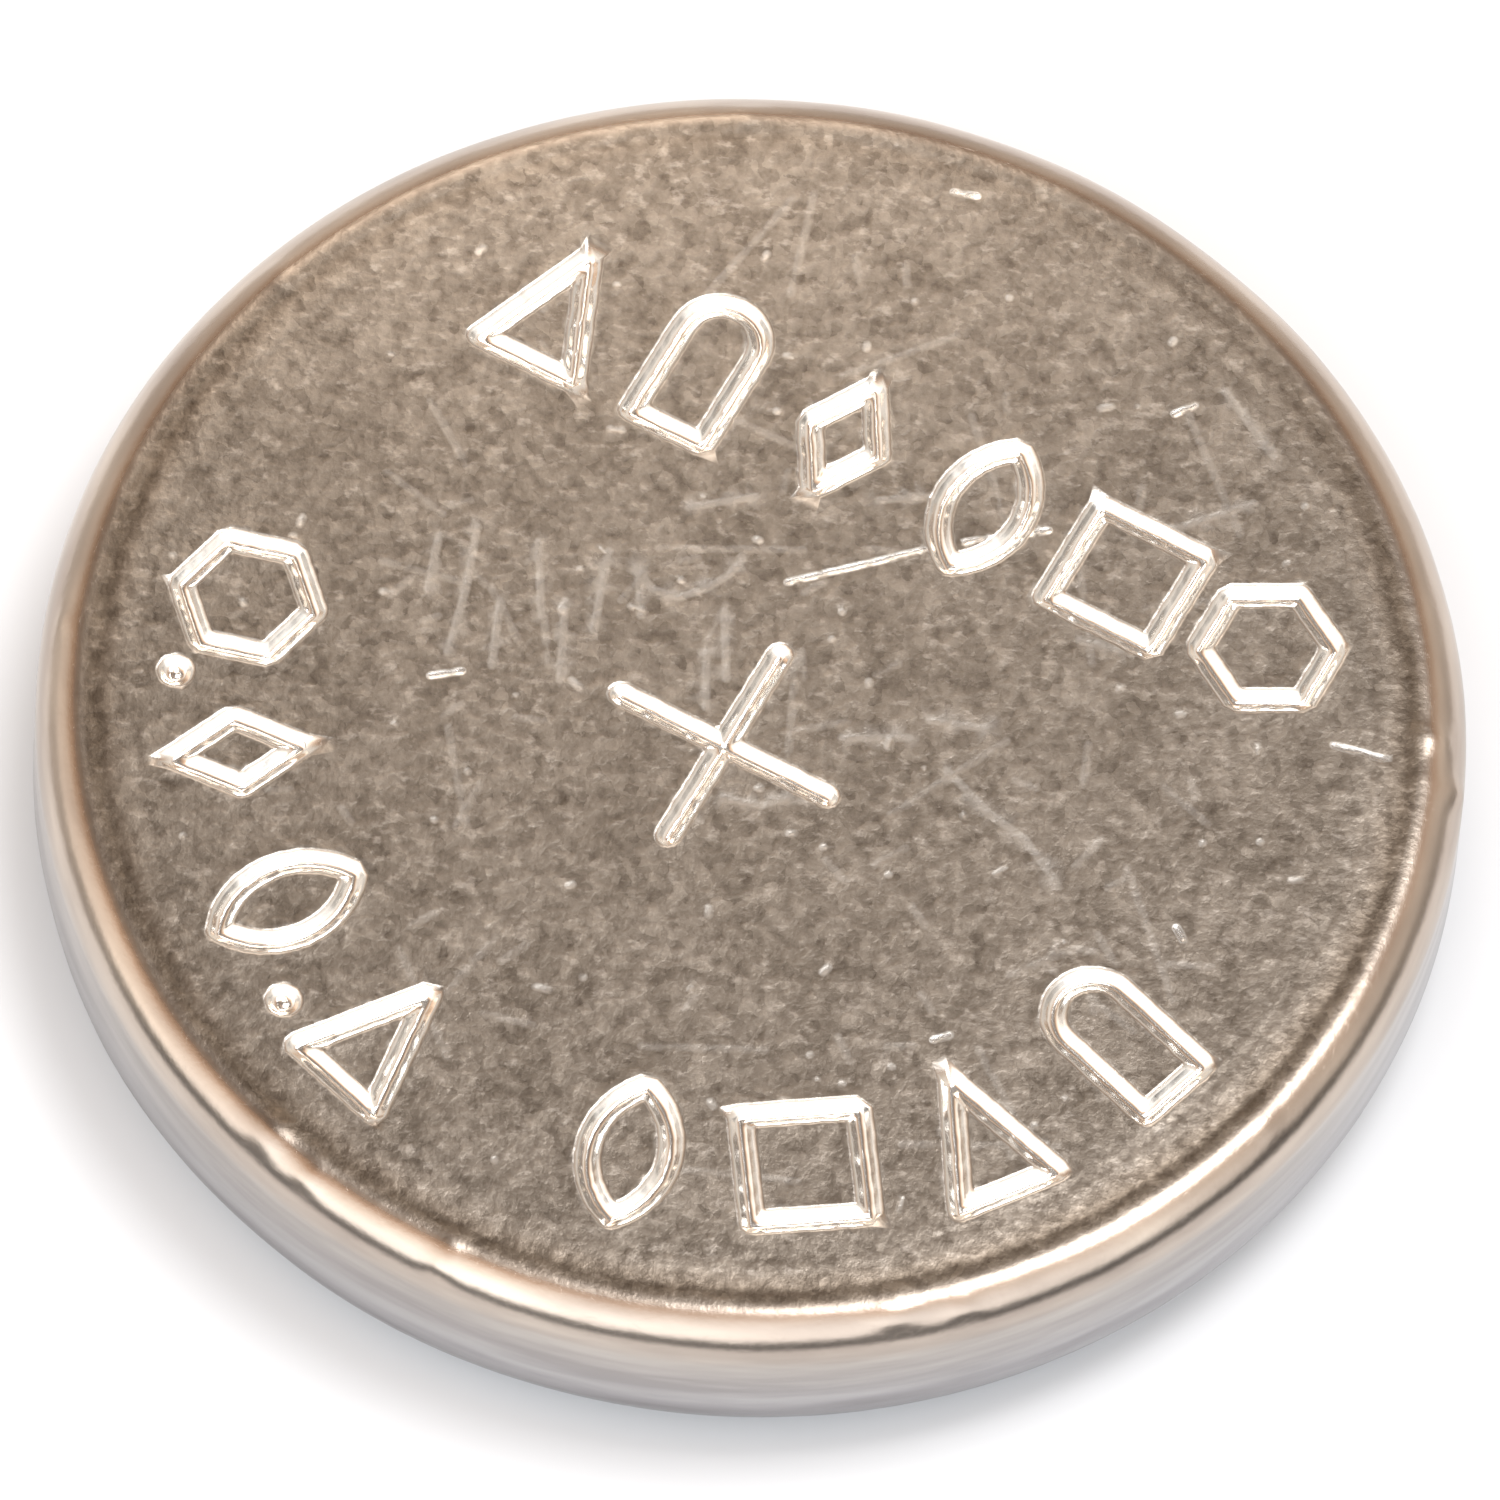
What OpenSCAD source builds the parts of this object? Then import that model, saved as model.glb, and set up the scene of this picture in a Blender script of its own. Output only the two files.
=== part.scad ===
// Alkaline button cell, lying on its negative cap with the positive face up.
// Every part of revolution is drawn as a half section: x is the radius, y the
// height above the surface that the cap stands on. A filled section can be
// drawn again at an inset, so a sheet metal part is its outer section less the
// same section one strip thickness further in, and what lies against the metal
// takes its shape from that inner section. Lengths are in millimetres.

/* [Cell] */
// Outer diameter over the can wall
cell_d = 11.6; // [10.4:0.1:14]
// Height from contact face to contact face
cell_h = 2.05; // [1.85:0.05:5.4]

/* [Positive can] */
// Thickness of the plated steel strip that the can is drawn from
can_t = 0.2; // [0.15:0.01:0.25]
// Outer radius of the shoulder between the positive face and the wall
can_shoulder_r = 0.4; // [0.3:0.02:0.5]
// Outer radius of the lip that is crimped over the gasket
lip_r = 0.55; // [0.5:0.01:0.6]
// Angle that the lip is curled through, from the upright wall
lip_turn = 105; // [90:1:115]
// Height of the lip above the surface that the cell stands on
lip_lift = 0.33; // [0.29:0.01:0.37]

/* [Negative cap] */
// Thickness of the clad strip that the cap is drawn from
cap_t = 0.18; // [0.14:0.01:0.22]
// Width of the flange, from the wall of the contact boss to the skirt
flange_w = 0.7; // [0.6:0.02:1]
// Outer radius of the edge of the contact boss
boss_edge_r = 0.26; // [0.22:0.01:0.3]
// Radius in the foot of the boss, where it turns out into the flange
boss_foot_r = 0.1; // [0.05:0.01:0.12]
// Outer radius of the bend between the flange and the skirt
flange_r = 0.24; // [0.22:0.01:0.27]

/* [Gasket] */
// Thickness of the seal between the can wall and the skirt of the cap
seal_wall_t = 0.3; // [0.25:0.01:0.36]
// Thickness of the seal between the crimped lip and the flange of the cap
seal_lip_t = 0.13; // [0.11:0.01:0.18]
// Thickness of the foot between the skirt and the separator
seal_foot_t = 0.15; // [0.13:0.01:0.17]
// Thickness of the return wall inside the skirt
seal_return_t = 0.2; // [0.15:0.01:0.25]
// Gap between the foot of the boss and the open edge of the seal
seal_edge_gap = 0.06; // [0.03:0.01:0.12]

/* [Filling] */
// Thickness of the pressed cathode pellet
pellet_t = 0.4; // [0.35:0.01:0.46]
// Thickness of the cellophane barrier
barrier_t = 0.05; // [0.03:0.01:0.08]
// Thickness of the absorbent fleece
fleece_t = 0.12; // [0.1:0.01:0.14]
// Clearance between the separator discs and the can wall
separator_clearance = 0.05; // [0.02:0.01:0.15]

/* [Stamping] */
// Depth of the stamped marks
stamp_depth = 0.07; // [0.03:0.01:0.1]
// Width of a stamped stroke
stroke_w = 0.2; // [0.14:0.01:0.24]
// Height of the marks
mark_h = 1.45; // [1.2:0.05:1.5]
// Width of the broad marks
broad_w = 1.16; // [1:0.02:1.2]
// Width of the slim marks
slim_w = 0.86; // [0.7:0.02:1]
// Length of each bar of the polarity cross
cross_l = 2.1; // [1.6:0.1:2.6]
// Place of the cross to the right of the cell's axis
stamp_x = -0.03; // [-0.25:0.01:0.25]
// Place of the cross in front of the cell's axis
stamp_y = -0.44; // [-0.5:0.01:-0.38]
// Place of the straight row's middle to the right of the cell's axis
row_x = 0.12; // [-0.2:0.01:0.2]
// Spacing of the marks in the straight row
row_pitch = 1.3; // [1.2:0.01:1.4]
// Least distance from the marks of the row to the edge of the flat face
row_margin = 0.28; // [0.2:0.01:0.35]
// Distance from the marks of the arcs to the edge of the flat face
arc_margin = 0.48; // [0.3:0.01:0.6]
// Angle between neighbouring marks in an arc
arc_pitch = 19.5; // [19:0.5:21]
// Direction of the middle of the right arc, counted from the right
right_arc_at = -46; // [-50:1:-38]
// Direction of the middle of the left arc, counted from the right
left_arc_at = 225; // [216:1:228]
// Diameter of the dots beside the left arc
dot_d = 0.3; // [0.2:0.02:0.4]

/* [Hidden] */
$fn = 128;
over = 0.5; // how far a cutting shape runs past what it cuts

can_r = cell_d / 2;
lip_y = lip_lift + lip_r; // height of the axis that the lip is curled about
skirt_r = can_r - can_t - seal_wall_t;
boss_r = skirt_r - flange_w;
flange_y = lip_lift + can_t + seal_lip_t;
skirt_from = flange_y + flange_r; // height at which the skirt stands upright
pellet_y = cell_h - can_t - pellet_t;
barrier_y = pellet_y - barrier_t;
fleece_y = barrier_y - fleece_t;
skirt_y = fleece_y - seal_foot_t;
foot_r = skirt_r - cap_t - seal_return_t; // open radius inside the seal
separator_r = can_r - can_t - separator_clearance;

row_kinds = ["triangle", "arch", "lozenge", "leaf", "square", "hexagon"];
right_kinds = ["leaf", "square", "triangle", "arch"];
left_kinds = ["hexagon", "lozenge", "leaf", "triangle"];
face_r = can_r - can_shoulder_r; // edge of the flat face
row_limit = face_r - row_margin;
row_reach = ((len(row_kinds) - 1) * row_pitch + broad_w) / 2 + abs(row_x);
row_y = sqrt(row_limit * row_limit - row_reach * row_reach) - mark_h / 2;
arc_r = face_r - arc_margin - mark_h / 2;

// ---- Sections ----

// Filled section of the can, at an inset from its outer surface
module can_section(inset) {
    top_r = can_shoulder_r - inset;
    low_r = lip_r - inset;
    top_x = can_r - can_shoulder_r;
    low_x = can_r - lip_r;
    top_y = cell_h - can_shoulder_r;
    translate([0, lip_y]) square([can_r - inset, top_y - lip_y]);
    translate([0, top_y]) square([top_x, top_r]);
    translate([0, lip_y - low_r]) square([low_x, low_r]);
    translate([top_x, top_y]) quarter(top_r, 0);
    translate([low_x, lip_y]) quarter(low_r, -90);
}

// Filled section of the cap up to the edge of its skirt, at an inset
module cap_section(inset) {
    edge = boss_edge_r - inset;
    bend = flange_r - inset;
    edge_x = boss_r - boss_edge_r;
    bend_x = skirt_r - flange_r;
    foot_x = boss_r + boss_foot_r;
    foot_y = flange_y - boss_foot_r;
    translate([0, inset]) square([edge_x, edge]);
    translate([edge_x, boss_edge_r]) quarter(edge, -90);
    translate([0, boss_edge_r]) square([boss_r - inset, skirt_from - boss_edge_r]);
    translate([0, flange_y + inset]) square([bend_x, bend]);
    translate([bend_x, skirt_from]) quarter(bend, -90);
    translate([0, skirt_from]) square([skirt_r - inset, skirt_y - skirt_from]);
    difference() {
        translate([0, foot_y]) square([foot_x, flange_y - foot_y + inset]);
        translate([foot_x, foot_y]) circle(boss_foot_r + inset);
    }
}

// Quarter of a disc, turned from the first quadrant
module quarter(radius, turn) {
    rotate(turn) intersection() {
        circle(radius);
        square(radius);
    }
}

// What the open mouth of the can takes out of its floor
module mouth_section() {
    centre = [can_r - lip_r, lip_y];
    reach = lip_r + over;
    edge = centre + reach * [cos(-lip_turn), sin(-lip_turn)];
    polygon([[-over, lip_y], centre, edge, [-over, edge[1]]]);
}

// Seal: all the room between the can and the cap, with a foot and a return
module gasket_section() {
    edge_r = seal_lip_t / 2;
    edge_x = boss_r + boss_foot_r + seal_edge_gap + edge_r;
    difference() {
        intersection() {
            can_section(can_t);
            union() {
                translate([edge_x, 0]) square([can_r, fleece_y]);
                translate([edge_x, flange_y - edge_r]) circle(edge_r);
            }
        }
        cap_section(0);
        translate([0, flange_y]) square([foot_r, cell_h]);
    }
    translate([foot_r, skirt_from]) square([seal_return_t, skirt_y - skirt_from]);
}

// ---- Stamped marks, as plan outlines at an inset from their outer edge ----

// Corners drawn in towards the centre of the circle that their sides touch
function drawn_in(corners, centre, touch_r, inset) =
    [for (corner = corners) centre + (1 - inset / touch_r) * (corner - centre)];

// Triangle that stands on its base
module triangle(width, height, inset) {
    touch_r = width * height / (width + norm([width, 2 * height]));
    corners = [[-width, -height] / 2, [width, -height] / 2, [0, height] / 2];
    polygon(drawn_in(corners, [0, touch_r - height / 2], touch_r, inset));
}

// Diamond that stands on its point
module lozenge(width, height, inset) {
    touch_r = width * height / norm([width, height]) / 2;
    corners = [[width, 0] / 2, [0, height] / 2, [-width, 0] / 2, [0, -height] / 2];
    polygon(drawn_in(corners, [0, 0], touch_r, inset));
}

// Hexagon between two upright sides
module hexagon(width, inset) {
    rotate(90) circle((width / 2 - inset) / cos(30), $fn = 6);
}

// Leaf between two arcs that meet above and below
module leaf(width, height, inset) {
    bow_r = (width * width + height * height) / (4 * width);
    intersection_for (side = [-1, 1])
        translate([side * (bow_r - width / 2), 0]) circle(bow_r - inset);
}

// Arch that stands on its sill
module arch(width, height, inset) {
    spring_y = (height - width) / 2;
    clear_w = width - 2 * inset;
    translate([0, spring_y]) circle(clear_w / 2);
    translate([-clear_w / 2, inset - height / 2])
        square([clear_w, spring_y + height / 2 - inset]);
}

// One mark of a given kind
module mark(kind, inset) {
    if (kind == "triangle") triangle(broad_w, mark_h, inset);
    if (kind == "square") square(broad_w - 2 * inset, center = true);
    if (kind == "hexagon") hexagon(broad_w, inset);
    if (kind == "arch") arch(slim_w, mark_h, inset);
    if (kind == "lozenge") lozenge(slim_w, mark_h, inset);
    if (kind == "leaf") leaf(slim_w, mark_h, inset);
}

module mark_stroke(kind) {
    difference() {
        mark(kind, 0);
        mark(kind, stroke_w);
    }
}

// Marks that stand side by side in a straight row beyond the cross
module stamped_row(kinds) {
    middle = (len(kinds) - 1) / 2;
    for (i = [0 : len(kinds) - 1])
        translate([row_x + (i - middle) * row_pitch, row_y]) mark_stroke(kinds[i]);
}

// Marks that stand in an arc with their heads towards the cell's axis
module stamped_arc(kinds, direction) {
    middle = (len(kinds) - 1) / 2;
    for (i = [0 : len(kinds) - 1])
        rotate(direction + (i - middle) * arc_pitch)
            translate([arc_r, 0]) rotate(90) mark_stroke(kinds[i]);
}

// Polarity cross, of two bars
module polarity_cross() {
    translate([stamp_x, stamp_y]) {
        square([cross_l, stroke_w], center = true);
        square([stroke_w, cross_l], center = true);
    }
}

module stamped_marks() {
    polarity_cross();
    stamped_row(row_kinds);
    stamped_arc(right_kinds, right_arc_at);
    stamped_arc(left_kinds, left_arc_at);
    for (side = [-1, 1])
        rotate(left_arc_at + side * arc_pitch)
            translate([arc_r + mark_h / 3, 0]) circle(d = dot_d);
}

// ---- Pieces ----

module positive_can() {
    color("silver") difference() {
        rotate_extrude() difference() {
            can_section(0);
            can_section(can_t);
            mouth_section();
        }
        translate([0, 0, cell_h - stamp_depth])
            linear_extrude(stamp_depth + over) stamped_marks();
    }
}

module sealing_gasket() {
    color("ivory") rotate_extrude() gasket_section();
}

module negative_cap() {
    color("lightsteelblue") rotate_extrude() difference() {
        cap_section(0);
        cap_section(cap_t);
    }
}

module cathode_pellet() {
    color("dimgray") rotate_extrude() intersection() {
        can_section(can_t);
        translate([0, pellet_y]) square([can_r, pellet_t]);
    }
}

module barrier_film() {
    color("khaki") translate([0, 0, barrier_y]) cylinder(h = barrier_t, r = separator_r);
}

module absorbent_pad() {
    color("white") translate([0, 0, fleece_y]) cylinder(h = fleece_t, r = separator_r);
}

module zinc_gel() {
    color("slategray") rotate_extrude() difference() {
        union() {
            cap_section(cap_t);
            translate([0, flange_y + cap_t]) square([foot_r, fleece_y - flange_y - cap_t]);
        }
        translate([foot_r, skirt_from]) square([can_r, cell_h]);
    }
}

positive_can();
sealing_gasket();
negative_cap();
cathode_pellet();
barrier_film();
absorbent_pad();
zinc_gel();
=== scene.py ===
# %% [markdown]
# # An alkaline button cell
#
# The cell is a plated steel can crimped over a nylon seal and a raised
# negative cap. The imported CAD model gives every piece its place, and this
# script dresses it: it turns the round pieces finely, stamps the face and
# gives each surface the finish of the real material.

import math

import bmesh
import bpy
import numpy as np
from mathutils import Matrix, Vector, noise
from mathutils.geometry import delaunay_2d_cdt


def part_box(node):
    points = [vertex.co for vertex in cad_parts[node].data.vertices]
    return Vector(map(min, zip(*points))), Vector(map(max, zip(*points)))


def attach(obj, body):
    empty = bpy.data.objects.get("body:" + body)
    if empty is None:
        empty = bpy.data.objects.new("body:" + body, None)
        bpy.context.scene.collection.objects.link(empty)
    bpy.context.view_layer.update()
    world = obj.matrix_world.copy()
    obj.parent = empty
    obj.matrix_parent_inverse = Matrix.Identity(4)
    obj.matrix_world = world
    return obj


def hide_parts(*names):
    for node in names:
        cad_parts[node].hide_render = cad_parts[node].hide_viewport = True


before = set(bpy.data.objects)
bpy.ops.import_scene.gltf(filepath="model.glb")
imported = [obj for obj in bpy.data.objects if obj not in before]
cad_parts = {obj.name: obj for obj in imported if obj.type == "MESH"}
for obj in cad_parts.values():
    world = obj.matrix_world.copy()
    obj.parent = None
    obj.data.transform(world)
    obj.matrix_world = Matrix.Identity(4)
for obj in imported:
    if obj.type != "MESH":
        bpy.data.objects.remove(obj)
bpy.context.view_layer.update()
scene = bpy.context.scene
print("CAD pieces:", sorted(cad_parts))


def in_scene(name, data):
    """A new object in the scene, made of a mesh, a lamp or a camera."""
    thing = bpy.data.objects.new(name, data)
    scene.collection.objects.link(thing)
    return thing


# %% [markdown]
# ## Sizes
#
# Blender works in metres and the cell is a few millimetres thick, so the
# sizes are written in millimetres and a mesh is scaled once, when it is made.
# The outer sizes are read from the CAD boxes. The strip thicknesses and radii
# can't be read from a box, so they repeat the values of the CAD source.

# %% Sizes in millimetres
MM = 0.001

can_low, can_high = (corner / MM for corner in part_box("positive_can"))
cap_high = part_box("negative_cap")[1] / MM
seal_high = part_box("sealing_gasket")[1] / MM

CAN_R = can_high.x  # outer radius of the can
TOP_Z = can_high.z  # height of the positive face
LIP_Z = can_low.z  # lowest height of the crimped lip
CAN_T = 0.2  # thickness of the can's strip
SHOULDER_R = 0.4  # outer radius of the bend from the wall into the face
LIP_R = 0.55  # outer radius of the crimped lip's curl
LIP_TURN = 105  # degrees that the lip is curled
SKIRT_R = cap_high.x  # outer radius of the cap's skirt
SKIRT_Z = cap_high.z  # height of the skirt's edge
CAP_T = 0.18  # thickness of the cap's strip
FLANGE_W = 0.7  # from the boss's side to the skirt's outside
BOSS_EDGE_R = 0.26
BOSS_FOOT_R = 0.1
FLANGE_R = 0.24
SEAL_LIP_T = 0.13  # thickness of the seal between the lip and the flange
SEAL_RETURN_T = 0.2  # and inside the skirt
SEAL_GAP = 0.06  # from the seal's inner edge to the boss's foot
FLANGE_Z = LIP_Z + CAN_T + SEAL_LIP_T
FACE_R = CAN_R - SHOULDER_R  # edge of the flat of the face

print(f"can {2 * CAN_R:.2f} mm across, from z {LIP_Z:.2f} to {TOP_Z:.2f} mm")

# %% [markdown]
# ## The camera
#
# A long lens a foot away keeps the circles of so small a thing almost true
# ellipses. The camera stands 62 degrees above the table and leans a few
# degrees to one side.

# %% Place the camera
CAMERA_TURN = math.radians(24.3)  # from the front towards +X
CAMERA_RISE = math.radians(61.9)
CAMERA_LEAN = math.radians(4.7)
CAMERA_FAR = 300  # mm
VIEW_W = 12.175  # mm of the cell's surroundings across the picture
AIM_Z = 1  # mm, and where the view is centred
AIM_RIGHT, AIM_UP = 0.016, 0.126

to_right = Vector((math.cos(CAMERA_TURN), math.sin(CAMERA_TURN), 0))
to_back = Vector((-math.sin(CAMERA_TURN), math.cos(CAMERA_TURN), 0))
to_camera = -to_back * math.cos(CAMERA_RISE) + Vector((0, 0, math.sin(CAMERA_RISE)))
to_top = to_camera.cross(to_right)
lean_right = to_right * math.cos(CAMERA_LEAN) + to_top * math.sin(CAMERA_LEAN)
lean_top = to_camera.cross(lean_right)

camera_data = bpy.data.cameras.new("bench_camera")
camera_data.sensor_width = 36  # mm
camera_data.lens = camera_data.sensor_width * CAMERA_FAR / VIEW_W
camera_data.clip_start, camera_data.clip_end = 0.01, 20  # m
camera = in_scene("bench_camera", camera_data)
aim = Vector((0, 0, AIM_Z)) + AIM_RIGHT * lean_right + AIM_UP * lean_top
turn = Matrix((lean_right, lean_top, to_camera)).transposed().to_4x4()
camera.matrix_world = Matrix.Translation((aim + CAMERA_FAR * to_camera) * MM) @ turn
scene.camera = camera
print(f"lens {camera_data.lens:.0f} mm")

# %% [markdown]
# ## Helpers for node trees
#
# Every material and every Geometry Nodes tree is built by one small function
# that adds a node, sets its properties and fills its inputs. An input given
# another node is linked to that node's first output, an input given a socket
# is linked to it, and anything else becomes the input's value. A list fills
# the inputs in their order. For Map Range that order is the value, the range
# that it comes from, and the range that it goes to.
# Colours are written as sRGB hex, as a paint chart gives them, and one
# function turns them into the linear numbers that Blender works in. The Mix
# node has a set of sockets for each kind of data, so its colour sockets are
# reached by number.

# %% One function for every node
MIX_A, MIX_B, MIX_OUT = 6, 7, 2  # the Mix node's colour sockets
COLOURS = {"data_type": "RGBA"}  # its settings to mix two colours
MULTIPLIED = COLOURS | {"blend_type": "MULTIPLY"}  # and to multiply them
# the kinds of node that are used most
MATH, VECTOR_MATH, MAP_RANGE = "ShaderNodeMath", "ShaderNodeVectorMath", "ShaderNodeMapRange"
NOISE, RAMP, MIX = "ShaderNodeTexNoise", "ShaderNodeValToRGB", "ShaderNodeMix"


def linear(hex_colour):
    """An sRGB hex colour as the linear numbers that Blender wants."""
    channels = [int(hex_colour[i : i + 2], 16) / 255 for i in (1, 3, 5)]
    return [c / 12.92 if c <= 0.04045 else ((c + 0.055) / 1.055) ** 2.4 for c in channels] + [1]


def add(tree, kind, inputs=None, stops=(), **settings):
    """A node; stops are the (position, hex colour) pairs of a colour ramp, in order."""
    node = tree.nodes.new(kind)
    for name, value in settings.items():
        setattr(node, name, value)
    if isinstance(inputs, list):
        inputs = dict(enumerate(inputs))
    for name, value in (inputs or {}).items():
        socket = node.inputs[name]
        if isinstance(value, bpy.types.Node):
            value = value.outputs[0]
        if isinstance(value, bpy.types.NodeSocket):
            tree.links.new(value, socket)
        else:
            socket.default_value = value
    if stops:
        elements = node.color_ramp.elements
        for element, (position, colour) in zip(elements, (stops[0], stops[-1])):
            element.position, element.color = position, linear(colour)
        for position, colour in stops[1:-1]:
            elements.new(position).color = linear(colour)
    return node


# %% [markdown]
# ## Turned pieces
#
# The can, the seal and the cap are all bodies of revolution, so each is a
# closed half section swept round the axis. A Geometry Nodes tree does it:
# the section becomes a profile, and Curve to Mesh carries it round a circle.
# The CAD model does the same with few facets, and here there are enough of
# them that a highlight runs smoothly round the rim.

# %% The lathe tree
SEGMENTS = 448
SPINDLE = 1.0  # radius of the circle that carries the section


def new_tree(name, sockets):
    """A Geometry Nodes tree with these named inputs, its input node and the output's socket."""
    tree = bpy.data.node_groups.new(name, "GeometryNodeTree")
    for label, kind in sockets:
        tree.interface.new_socket(label, in_out="INPUT", socket_type=kind)
    tree.interface.new_socket("Result", in_out="OUTPUT", socket_type="NodeSocketGeometry")
    return tree, tree.nodes.new("NodeGroupInput"), tree.nodes.new("NodeGroupOutput")


def finish_tree(tree, group_in, group_out, geometry):
    """Ends a tree with real geometry that carries its material."""
    real = add(tree, "GeometryNodeRealizeInstances", {"Geometry": geometry})
    coated = add(
        tree,
        "GeometryNodeSetMaterial",
        {"Geometry": real, "Material": group_in.outputs["Finish"]},
    )
    tree.links.new(coated.outputs["Geometry"], group_out.inputs["Result"])
    print(f"{tree.name}: {len(tree.nodes)} nodes")


lathe, lathe_in, lathe_out = new_tree(
    "lathe",
    [
        ("Section", "NodeSocketGeometry"),
        ("Segments", "NodeSocketInt"),
        ("Spindle radius", "NodeSocketFloat"),
        ("Finish", "NodeSocketMaterial"),
    ],
)
circle = add(
    lathe,
    "GeometryNodeCurvePrimitiveCircle",
    {"Resolution": lathe_in.outputs["Segments"], "Radius": lathe_in.outputs["Spindle radius"]},
)
upright = add(lathe, "GeometryNodeSetCurveNormal", {"Curve": circle}, mode="Z_UP")
profile = add(lathe, "GeometryNodeMeshToCurve", {"Mesh": lathe_in.outputs["Section"]})
swept = add(lathe, "GeometryNodeCurveToMesh", {"Curve": upright, "Profile Curve": profile})
finish_tree(lathe, lathe_in, lathe_out, swept)


# %% Run a tree and keep its mesh
def grown(piece, tree, inputs):
    """The plain mesh that a tree makes of a piece."""
    names = {item.name: item.identifier for item in tree.interface.items_tree}
    modifier = piece.modifiers.new(tree.name, "NODES")
    modifier.node_group = tree
    for name, value in inputs.items():
        modifier[names[name]] = value
    depsgraph = bpy.context.evaluated_depsgraph_get()
    mesh = bpy.data.meshes.new_from_object(piece.evaluated_get(depsgraph))
    piece.modifiers.remove(modifier)
    return mesh


def turned(name, section, finish, closed=True):
    """A mesh in millimetres, turned from (radius, height) points about the Z axis."""
    blank = bpy.data.meshes.new(name)
    count = len(section)
    edges = [(i, (i + 1) % count) for i in range(count if closed else count - 1)]
    blank.from_pydata([(r - SPINDLE, -z, 0) for r, z in section], edges, [])
    piece = in_scene(name, blank)
    inputs = {"Segments": SEGMENTS, "Spindle radius": SPINDLE, "Finish": finish}
    mesh = grown(piece, lathe, inputs)
    bpy.data.objects.remove(piece)
    return mesh


# %% Arcs for the half sections
def arc(centre, radius, start, end, steps=14):
    """(radius, height) points on an arc, from one angle to another in degrees."""
    return [
        (centre[0] + radius * math.cos(a), centre[1] + radius * math.sin(a))
        for a in np.radians(np.linspace(start, end, steps + 1))
    ]


def line(start, end, steps):
    """Points from start up to, but not including, end."""
    return [
        (start[0] + (end[0] - start[0]) * i / steps, start[1] + (end[1] - start[1]) * i / steps)
        for i in range(steps)
    ]


# %% A piece from a mesh
WELD = 1e-4  # mm, points closer than this are one


def piece_from(mesh, name, node, finish):
    """Puts a mesh made in millimetres into the scene, in place of its CAD node."""
    work = bmesh.new()
    work.from_mesh(mesh)
    bmesh.ops.remove_doubles(work, verts=work.verts, dist=WELD)
    bmesh.ops.recalc_face_normals(work, faces=work.faces)
    if work.calc_volume(signed=True) < 0:
        bmesh.ops.reverse_faces(work, faces=work.faces)
    open_edges = sum(1 for edge in work.edges if len(edge.link_faces) != 2)
    for face in work.faces:
        face.smooth = True
    bmesh.ops.scale(work, vec=(MM, MM, MM), verts=work.verts)
    work.to_mesh(mesh)
    triangles = sum(len(face.verts) - 2 for face in work.faces)
    work.free()
    mesh.name = name
    mesh.materials.clear()
    mesh.materials.append(finish)
    piece = in_scene(name, mesh)
    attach(piece, "root")
    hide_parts(node)
    print(f"{name}: {triangles} triangles, {open_edges} open edges")


# %% Materials, first as named blanks
def new_material(name):
    material = bpy.data.materials.new(name)
    material.use_nodes = True
    material.node_tree.nodes.clear()
    return material


can_finish = new_material("nickel_plated_steel")
cap_finish = new_material("rolled_nickel_clad_strip")
seal_finish = new_material("moulded_nylon")

# %% Turn the cap
BOSS_R = SKIRT_R - FLANGE_W
CAP_BEND_Z = FLANGE_Z + FLANGE_R


def cap_side(inset):
    """The cap's section from the middle of the boss out to the skirt's edge."""
    foot = (BOSS_R + BOSS_FOOT_R, FLANGE_Z - BOSS_FOOT_R)
    return (
        line((0, inset), (BOSS_R - BOSS_EDGE_R, inset), 6)
        + arc((BOSS_R - BOSS_EDGE_R, BOSS_EDGE_R), BOSS_EDGE_R - inset, -90, 0)
        + arc(foot, BOSS_FOOT_R + inset, 180, 90, 8)
        + arc((SKIRT_R - FLANGE_R, CAP_BEND_Z), FLANGE_R - inset, -90, 0)
        + [(SKIRT_R - inset, SKIRT_Z)]
    )


cap_section = cap_side(0) + cap_side(CAP_T)[::-1]
piece_from(
    turned("negative_cap_turned", cap_section, cap_finish, closed=False),
    "negative_cap_turned", "negative_cap", cap_finish,
)

# %% Turn the seal
SEAL_IN_R = BOSS_R + BOSS_FOOT_R + SEAL_GAP
SEAL_TOP_Z = seal_high.z
SEAL_OUT_R = CAN_R - CAN_T
FOOT_R = SKIRT_R - CAP_T - SEAL_RETURN_T
edge_r = SEAL_LIP_T / 2
seal_section = (
    arc((SEAL_IN_R + edge_r, FLANGE_Z - edge_r), edge_r, 90, 270, 10)
    + arc((CAN_R - LIP_R, LIP_Z + LIP_R), LIP_R - CAN_T, -90, 0)
    + [(SEAL_OUT_R, SEAL_TOP_Z), (FOOT_R, SEAL_TOP_Z), (FOOT_R, CAP_BEND_Z)]
    + [(FOOT_R + SEAL_RETURN_T, CAP_BEND_Z), (FOOT_R + SEAL_RETURN_T, SKIRT_Z)]
    + [(SKIRT_R, SKIRT_Z)]
    + arc((SKIRT_R - FLANGE_R, CAP_BEND_Z), FLANGE_R, 0, -90)
)
piece_from(
    turned("sealing_gasket_turned", seal_section, seal_finish),
    "sealing_gasket_turned", "sealing_gasket", seal_finish,
)

# %% [markdown]
# ## The can's wall
#
# The can is drawn from one strip, so its section has a wide round shoulder
# between the face and the wall, and a lip that is rolled inwards over the
# seal. The face isn't truly flat: it crowns a little, near its edge it rolls
# away before the shoulder starts, and the die leaves two faint rings there.
# The wall is turned from the edge of the face, over the shoulder, round the
# lip and back up the inside.

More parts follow.
